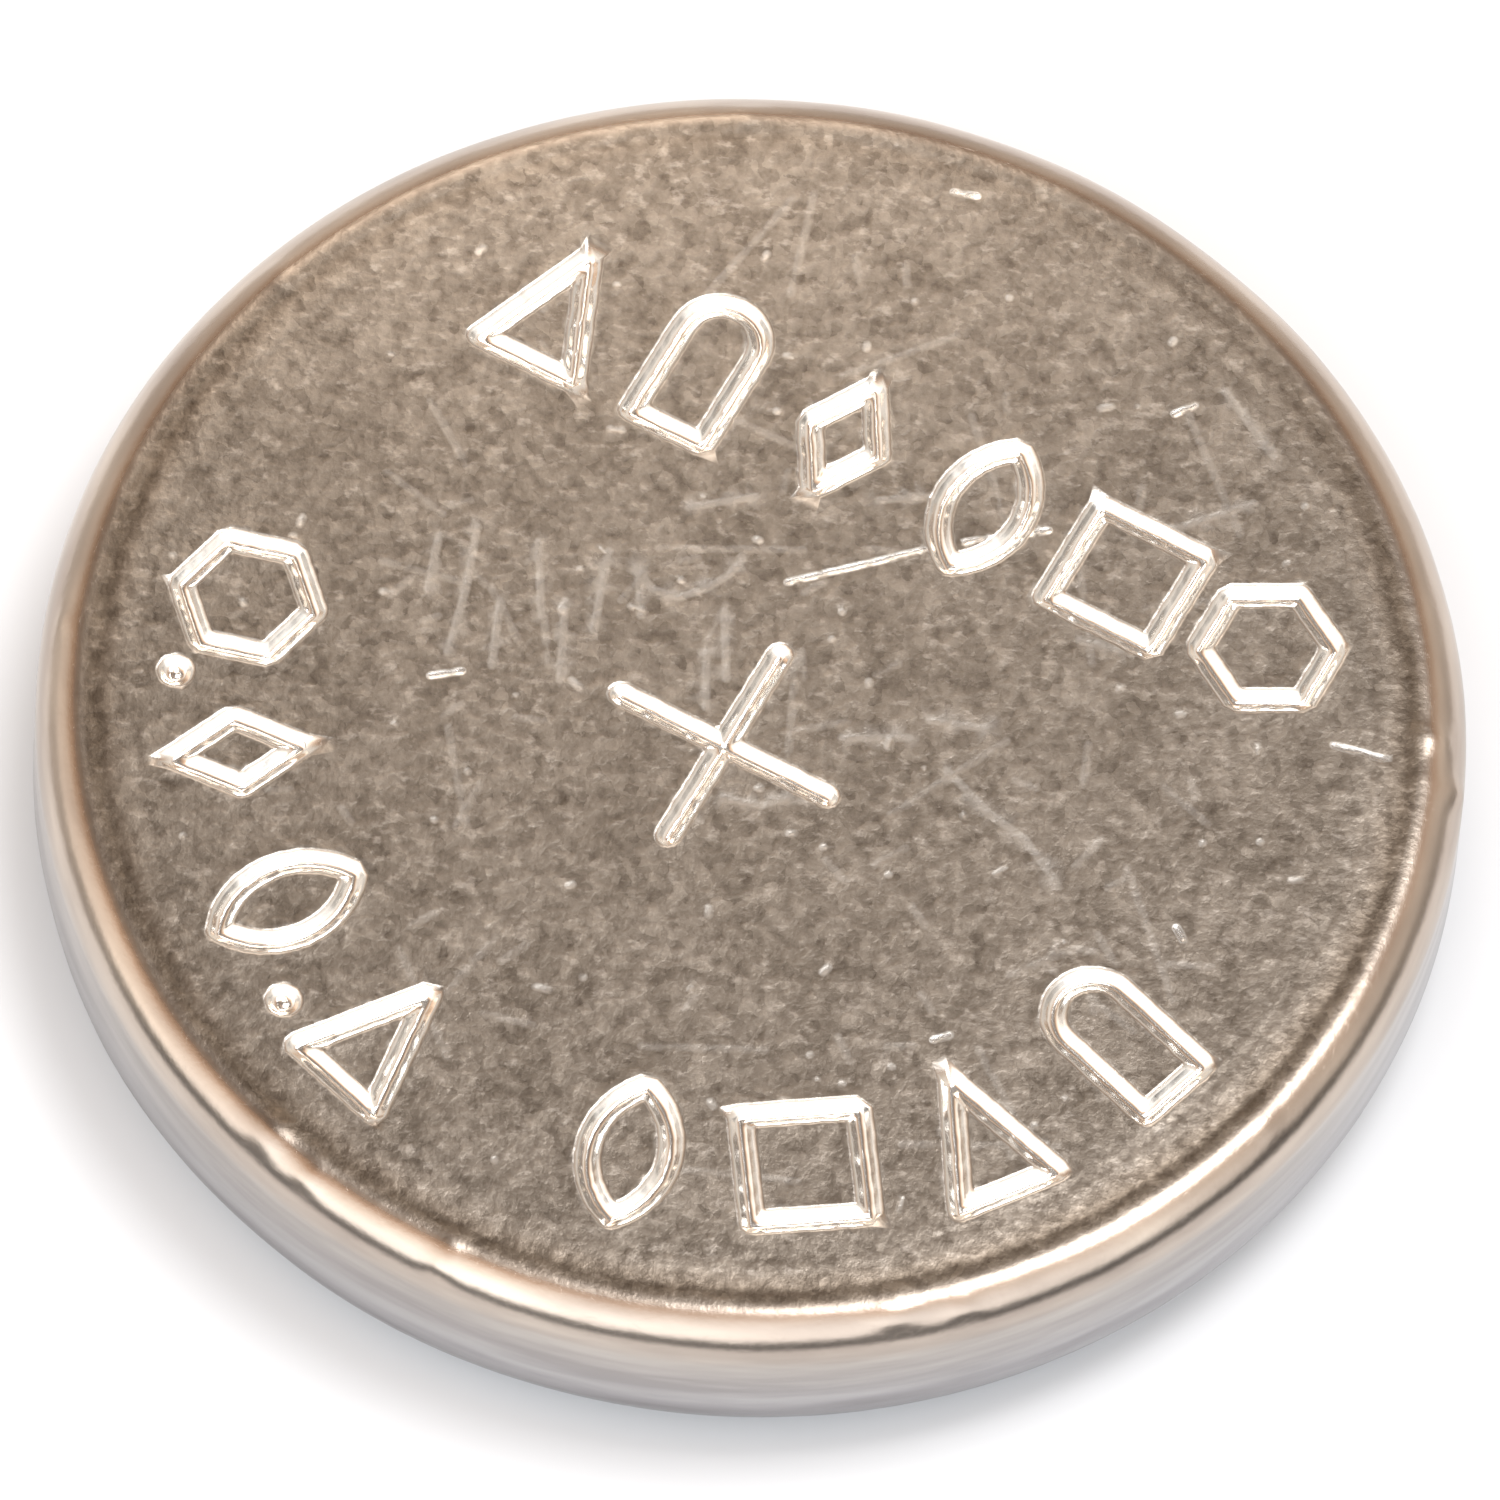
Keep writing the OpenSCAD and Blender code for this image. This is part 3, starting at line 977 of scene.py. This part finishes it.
patchy = add(tree, MATH, [flake, FLAKE_SHARE, mottle], operation="MULTIPLY_ADD")
crossed = add(tree, MATH, [streaks[0], streaks[1]], operation="ADD")
summed = add(tree, MATH, [crossed, STREAK_SHARE, patchy], operation="MULTIPLY_ADD")
grain = add(tree, MATH, [summed, GRAIN_LEVEL], operation="MULTIPLY")
cloud = add(
    tree, NOISE, {"Vector": place_mm, "Scale": 1 / CLOUD, "Detail": 3.0, "Roughness": 0.6}
)
dull = add(tree, RAMP, {"Fac": grain}, stops=[(0.33, "#665D54"), (0.69, "#AAA196")])
clouded = add(tree, RAMP, {"Fac": cloud}, stops=[(0.3, "#E2E0DE"), (0.7, "#FFFFFF")])
soft = add(tree, MIX, {"Factor": 1.0, MIX_A: dull, MIX_B: clouded}, **MULTIPLIED)
scuff = add(tree, MAP_RANGE, [streaks[1], 0.57, 0.72, 0, 0.32])
handled = add(
    tree,
    MIX,
    {"Factor": scuff, MIX_A: soft.outputs[MIX_OUT], MIX_B: linear("#CFC7BE")},
    **COLOURS,
)

# %% The painted shade ring inside the rim
SHADE_RING_FROM, SHADE_RING_TO = 5.06, 5.66  # mm from the axis
SHADE_RING_STRAY = 0.2  # mm that the ring strays from its circle
flat_mm = in_millimetres(tree, (1, 1, 0))
from_axis = add(tree, VECTOR_MATH, [flat_mm], operation="LENGTH")
ragged = add(
    tree, MATH, [cloud, SHADE_RING_STRAY, from_axis.outputs["Value"]], operation="MULTIPLY_ADD"
)
rings = add(tree, MAP_RANGE, [ragged, SHADE_RING_FROM, SHADE_RING_TO])
# painted shade: a darker ring near the rim, with a lighter painted ring just inside it
shade_ring = add(
    tree,
    RAMP,
    {"Fac": rings},
    stops=[
        (0.0, "#EAEAEA"),
        (0.3, "#FFFFFF"),
        (0.42, "#F2EFEC"),
        (0.6, "#BFB8B1"),
        (0.75, "#D0CAC4"),
        (0.9, "#EAEAEA"),
    ],
)
LIT_SIDE = math.radians(114.3)  # round from +X, the side towards which the painted shade ring fades out
to_lit_side = [math.cos(LIT_SIDE) / FACE_R, math.sin(LIT_SIDE) / FACE_R, 0]
lit_side = add(tree, VECTOR_MATH, [flat_mm, to_lit_side], operation="DOT_PRODUCT")
shade_ring_here = add(tree, MAP_RANGE, [lit_side.outputs["Value"], 0.35, 0.85, 1.0, 0.1])
# lays the painted shade ring over the face's colour, fading it towards one side
ring_shaded = add(
    tree, MIX, {"Factor": shade_ring_here, MIX_A: handled.outputs[MIX_OUT], MIX_B: shade_ring}, **MULTIPLIED
)

# %% The drawn wall and the bright strokes
BAND_LONG, BAND_HIGH = 2.2, 0.25  # mm, the soft bands that the die leaves round the wall
RIM_POLISH = 0.72  # how far the rim is polished, where a stroke's floor is 1
PIT_DEPTH = 0.014  # mm
round_rim = in_millimetres(tree, (1 / BAND_LONG, 1 / BAND_LONG, 1 / BAND_HIGH))
bands = add(tree, NOISE, {"Vector": round_rim, "Scale": 1.0, "Detail": 3.0, "Roughness": 0.55})
drawn_wall = add(tree, RAMP, {"Fac": bands}, stops=[(0.34, "#C0BCBA"), (0.64, "#DEDBD8")])
height = add(tree, "ShaderNodeSeparateXYZ", [place_mm])
up_the_wall = add(tree, MAP_RANGE, [height.outputs["Z"], LIP_Z, TOP_Z])
# painted shade and highlight: the wall's colour gets darker and bluer towards the lip, standing
# in for the shadowed table it reflects, and lighter and warmer towards the shoulder
wall_shade_by_height = add(
    tree,
    RAMP,
    {"Fac": up_the_wall},
    stops=[(0.15, "#96969D"), (0.4, "#CCCCCF"), (0.74, "#D8D3CE"), (0.9, "#E8DCD0")],
)
shaded_wall = add(tree, MIX, {"Factor": 1.0, MIX_A: drawn_wall, MIX_B: wall_shade_by_height}, **MULTIPLIED)
burnish = add(tree, "ShaderNodeAttribute", attribute_name="burnish")
rim_worn = add(tree, "ShaderNodeAttribute", attribute_name="rim")
# the rim's rubbed wear carries the wall colour with its painted shade and highlight onto the rim
rubbed_and_shaded_rim = add(
    tree,
    MIX,
    {
        "Factor": rim_worn.outputs["Fac"],
        MIX_A: ring_shaded.outputs[MIX_OUT],
        MIX_B: shaded_wall.outputs[MIX_OUT],
    },
    **COLOURS,
)
bright = add(
    tree,
    MIX,
    {
        "Factor": burnish.outputs["Fac"],
        MIX_A: rubbed_and_shaded_rim.outputs[MIX_OUT],
        MIX_B: linear("#F8F5F0"),
    },
    **COLOURS,
)
rim_polish = add(tree, MATH, [rim_worn.outputs["Fac"], RIM_POLISH], operation="MULTIPLY")
worn = add(tree, MATH, [burnish.outputs["Fac"], rim_polish], operation="MAXIMUM")
roughness = add(tree, MAP_RANGE, [worn, 0, 1, 0.36, 0.19])
pit_depth = add(tree, MAP_RANGE, [worn, 0, 1, 0.8, 0.05])
pits = add(
    tree, "ShaderNodeBump", {"Height": grain, "Strength": pit_depth, "Distance": PIT_DEPTH * MM}
)
finish_material(
    can_finish,
    {
        "Base Color": bright.outputs[MIX_OUT],
        "Roughness": roughness,
        "Normal": pits,
        "Metallic": 1.0,
    },
)

# %% [markdown]
# ## Rolled nickel clad strip
#
# The negative cap is pressed from strip with a nickel layer rolled onto the
# steel. It is brighter and cleaner than the can, and the rolls leave fine
# straight lines across it. Noise stretched a hundred times along one
# direction gives such lines, and the same noise varies the roughness, so
# that the lines show in the reflections and hardly in the colour. Standing
# on its boss, the cell also picks up round rub marks, which follow the
# distance from the axis.

# %% The cap's finish
ROLL_LONG, ROLL_WIDE = 5.0, 0.05  # mm
RUB_WIDE, RUB_SHARE = 0.09, 0.35  # mm, and how much they count beside the roll lines
LINE_DEPTH = 0.004  # mm
tree = cap_finish.node_tree
rolled = add(
    tree,
    NOISE,
    {
        "Vector": in_millimetres(tree, (1 / ROLL_LONG, 1 / ROLL_WIDE, 1 / ROLL_WIDE)),
        "Scale": 1.0,
        "Detail": 4.0,
        "Roughness": 0.65,
    },
)
flat_mm = in_millimetres(tree, (1, 1, 0))
from_axis = add(tree, VECTOR_MATH, [flat_mm], operation="LENGTH")
rub_rings = add(
    tree,
    NOISE,
    {"W": from_axis.outputs["Value"], "Scale": 1 / RUB_WIDE, "Detail": 2.0},
    noise_dimensions="1D",
)
stained = add(
    tree, NOISE, {"Vector": in_millimetres(tree), "Scale": 0.9, "Detail": 4.0, "Roughness": 0.6}
)
marks_sum = add(tree, MATH, [rub_rings, RUB_SHARE, rolled], operation="MULTIPLY_ADD")
nickel = add(tree, RAMP, {"Fac": marks_sum}, stops=[(0.45, "#AFABA5"), (0.85, "#D9D6D1")])
stain = add(tree, RAMP, {"Fac": stained}, stops=[(0.3, "#DAD3C8"), (0.55, "#FFFFFF")])
clad = add(tree, MIX, {"Factor": 1.0, MIX_A: nickel, MIX_B: stain}, **MULTIPLIED)
roughness = add(tree, MAP_RANGE, [marks_sum, 0.4, 0.95, 0.3, 0.16])
lines = add(
    tree, "ShaderNodeBump", {"Height": marks_sum, "Strength": 0.5, "Distance": LINE_DEPTH * MM}
)
finish_material(
    cap_finish,
    {
        "Base Color": clad.outputs[MIX_OUT],
        "Roughness": roughness,
        "Normal": lines,
        "Metallic": 1.0,
    },
)

# %% [markdown]
# ## Moulded nylon
#
# The seal is injection moulded from undyed nylon, which is ivory and lets a
# little light in below its surface. The mould was spark eroded, so it left a
# very fine grain, drawn here a tenth of a millimetre coarse so that it
# shows. Slow clouds show how the plastic flowed as it filled the mould.

# %% The seal's finish
EROSION, EROSION_DEPTH = 0.1, 0.006  # mm
tree = seal_finish.node_tree
eroded = add(tree, NOISE, {"Vector": in_millimetres(tree), "Scale": 1 / EROSION, "Detail": 3.0})
flow = add(tree, NOISE, {"Vector": in_millimetres(tree), "Scale": 0.7, "Detail": 2.0})
ivory = add(tree, RAMP, {"Fac": flow}, stops=[(0.35, "#CFC8B6"), (0.65, "#E2DDD0")])
grain = add(
    tree, "ShaderNodeBump", {"Height": eroded, "Strength": 0.4, "Distance": EROSION_DEPTH * MM}
)
sheen_variation = add(tree, MAP_RANGE, [eroded, 0, 1, 0.38, 0.56])
finish_material(
    seal_finish,
    {
        "Base Color": ivory,
        "Roughness": sheen_variation,
        "Normal": grain,
        "IOR": 1.53,
        "Subsurface Weight": 0.25,
        "Subsurface Scale": 0.3 * MM,
    },
)

# %% [markdown]
# ## The filling
#
# The four pieces inside are never seen on a whole cell, but they show in a
# cut one, so each gets its real finish too. Three of them are grains or
# fibres, and all four can share one recipe: one noise or cell pattern at the
# size of the grain gives the colour, the roughness and the bump. What
# differs is kept in a small table.
#
# - The cathode pellet is manganese dioxide and graphite powder, pressed: a
#   black disc with a faint glitter of graphite flakes.
# - The barrier film is cellophane: a smooth, glossy, yellowish film with
#   casting lines.
# - The absorbent pad is a felt of loose fibres: white, matt and hairy.
# - The zinc gel is grey zinc grit in a clear jelly, which makes it glisten.

# %% The filling's finishes
FILLINGS = (
    # node, finish, pattern, grain size in mm, dark, light, roughness, bump in mm, settings
    (
        "cathode_pellet", "pressed_manganese_dioxide_and_graphite", "cells", 0.07,
        "#1D1D20", "#4C4C52", (0.7, 0.35), 0.008, {},
    ),
    (
        "barrier_film", "cast_cellophane", "lines", 0.15,
        "#D6CB9C", "#E9E0BC", (0.14, 0.08), 0.001, {"IOR": 1.47, "Coat Weight": 0.3},
    ),
    (
        "absorbent_pad", "non_woven_fleece", "fibres", 0.03,
        "#C9C6BE", "#F4F2EC", (0.95, 0.85), 0.02, {"Sheen Weight": 0.3},
    ),
    (
        "zinc_gel", "zinc_powder_in_gel", "cells", 0.12,
        "#6C7177", "#B4B9BE", (0.5, 0.25), 0.015, {"Coat Weight": 0.8},
    ),
)
for node, name, pattern, size, dark, light, (rough, smooth), bump, settings in FILLINGS:
    filling = new_material(name)
    tree = filling.node_tree
    if pattern == "cells":
        cells = add(
            tree, "ShaderNodeTexVoronoi", {"Vector": in_millimetres(tree), "Scale": 1 / size}
        )
        value = add(tree, "ShaderNodeSeparateColor", [cells.outputs["Color"]])
    else:
        layers = []
        for turn in (0.3, 1.4, 2.6) if pattern == "fibres" else (0.0,):
            stretched = in_millimetres(tree, (0.05 / size, 1 / size, 1 / size), turn)
            layer = add(tree, NOISE, {"Vector": stretched, "Scale": 1.0, "Detail": 2.0})
            layers.append(layer)
        value = layers[0]
        for layer in layers[1:]:
            value = add(tree, MATH, [value, layer], operation="MAXIMUM")
    colour = add(tree, RAMP, {"Fac": value}, stops=[(0.25, dark), (0.8, light)])
    rough_by_grain = add(tree, MAP_RANGE, [value, 0, 1, rough, smooth])
    relief = add(
        tree, "ShaderNodeBump", {"Height": value, "Strength": 0.6, "Distance": bump * MM}
    )
    inputs = {
        "Base Color": colour,
        "Roughness": rough_by_grain,
        "Normal": relief,
    }
    finish_material(filling, inputs | settings)
    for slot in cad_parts[node].material_slots:
        slot.material = filling

# %% [markdown]
# ## The table and the light
#
# The cell lies on white paper in a light tent. Metal shows what is round it,
# so the tent matters as much as the lamps. Its walls glow white, brightest in
# front and a little to the left, and faintly warm behind. Its roof, which
# leans over behind the cell, goes from beige to a warm grey. Low down, in
# front and at the sides, lies a dark gap that draws a dark line along the
# cell's wall. The camera itself sees plain white behind the table. A high
# lamp throws the soft shadow, and a small near one lights the back of the
# face.

# %% The table
FLOOR_SIZE = 1.2  # m
PAPER_GLOW = 0.02  # strength of the paper's own light, to the camera and in reflections
floor_mesh = bpy.data.meshes.new("table")
half = FLOOR_SIZE / 2
floor_mesh.from_pydata(
    [(-half, -half, 0), (half, -half, 0), (half, half, 0), (-half, half, 0)], [], [(0, 1, 2, 3)]
)
table = in_scene("table", floor_mesh)
paper = new_material("white_paper")
tree = paper.node_tree
diffuse = add(tree, "ShaderNodeBsdfDiffuse", {"Color": linear("#E6EAEF")})
rays = add(tree, "ShaderNodeLightPath")
seen = add(
    tree,
    MATH,
    [rays.outputs["Is Camera Ray"], rays.outputs["Is Glossy Ray"]],
    operation="MAXIMUM",
)
seen = add(tree, MATH, [seen, rays.outputs["Is Transmission Ray"]], operation="MAXIMUM")
glow_level = add(tree, MATH, [seen, PAPER_GLOW], operation="MULTIPLY")
glow = add(tree, "ShaderNodeEmission", {"Strength": glow_level})
both = add(tree, "ShaderNodeAddShader", [diffuse, glow])
add(tree, "ShaderNodeOutputMaterial", {"Surface": both})
floor_mesh.materials.append(paper)

# %% The tent
world = bpy.data.worlds.new("light_tent")
scene.world = world
world.use_nodes = True
tree = world.node_tree
tree.nodes.clear()
ROOF_RISE = math.radians(66)
TENT_SWING = math.radians(22)  # from the front towards the left, where it is brightest
BACK_LEVEL, FRONT_LEVEL = 0.98, 2.9  # strength of the walls
GAP_LOW, GAP_HIGH = 0.26, 0.42  # sines of the heights between which the gap ends
GAP_DARK = 0.94  # share of the light that it holds back

roof = to_back * math.cos(ROOF_RISE) + Vector((0, 0, math.sin(ROOF_RISE)))
way = add(tree, "ShaderNodeTexCoord")
to_roof = add(tree, VECTOR_MATH, [way, roof], operation="DOT_PRODUCT")
to_front = add(tree, VECTOR_MATH, [way, -to_back], operation="DOT_PRODUCT")
height = add(tree, "ShaderNodeSeparateXYZ", [way])
tent = add(
    tree,
    RAMP,
    {"Fac": to_roof.outputs["Value"]},
    stops=[(0.45, "#FFFFFF"), (0.72, "#F4EEE8"), (0.86, "#CDAB8E"), (0.96, "#76706D")],
)
behind = add(tree, MAP_RANGE, [to_front.outputs["Value"], 0.0, 0.6, 1.0, 0.0])
walls = add(tree, MIX, {"Factor": behind, MIX_A: tent, MIX_B: linear("#F8EEE4")}, **MULTIPLIED)
bright_way = -to_back * math.cos(TENT_SWING) - to_right * math.sin(TENT_SWING)
to_bright = add(tree, VECTOR_MATH, [way, bright_way], operation="DOT_PRODUCT")
front = add(tree, MAP_RANGE, [to_bright.outputs["Value"], -0.3, 1.0, BACK_LEVEL, FRONT_LEVEL])
gap = add(
    tree,
    MAP_RANGE,
    [height.outputs["Z"], GAP_LOW, GAP_HIGH, 1.0, 0.0],
    interpolation_type="SMOOTHSTEP",
)
ahead = add(tree, MAP_RANGE, [to_front.outputs["Value"], -0.8, 0.2, 0, GAP_DARK])
slit = add(tree, MATH, [gap, ahead], operation="MULTIPLY")
lit = add(tree, MATH, [1.0, slit], operation="SUBTRACT")
level = add(tree, MATH, [front, lit], operation="MULTIPLY")
light = add(tree, "ShaderNodeBackground", {"Color": walls.outputs[MIX_OUT], "Strength": level})
backdrop = add(tree, "ShaderNodeBackground", {"Color": (1, 1, 1, 1), "Strength": 1.0})
rays = add(tree, "ShaderNodeLightPath")
choice = add(tree, "ShaderNodeMixShader", [rays.outputs["Is Camera Ray"], light, backdrop])
add(tree, "ShaderNodeOutputWorld", {"Surface": choice})

# %% The lamps
def disc_lamp(name, across, far, rise, swing, watts, colour):  # mm and degrees
    """A round soft lamp, raised above the table and swung from behind towards the right."""
    data = bpy.data.lights.new(name, "AREA")
    data.shape = "DISK"
    data.size = across * MM
    data.energy = watts
    data.color = linear(colour)[:3]
    lamp = in_scene(name, data)
    up, around = math.radians(rise), math.radians(swing)
    level_way = to_back * math.cos(around) + to_right * math.sin(around)
    toward = level_way * math.cos(up) + Vector((0, 0, math.sin(up)))
    facing = toward.to_track_quat("Z", "Y").to_matrix().to_4x4()
    lamp.matrix_world = Matrix.Translation(toward * far * MM) @ facing
    print(f"{name}: {watts} W, {far} mm away")


disc_lamp("key_lamp", across=140, far=300, rise=74, swing=62, watts=0.46, colour="#FFFFFF")
disc_lamp("near_lamp", across=16, far=45, rise=48, swing=-8, watts=0.0024, colour="#FFF1E2")

# %% Look and finish
scene.view_settings.view_transform = "Standard"
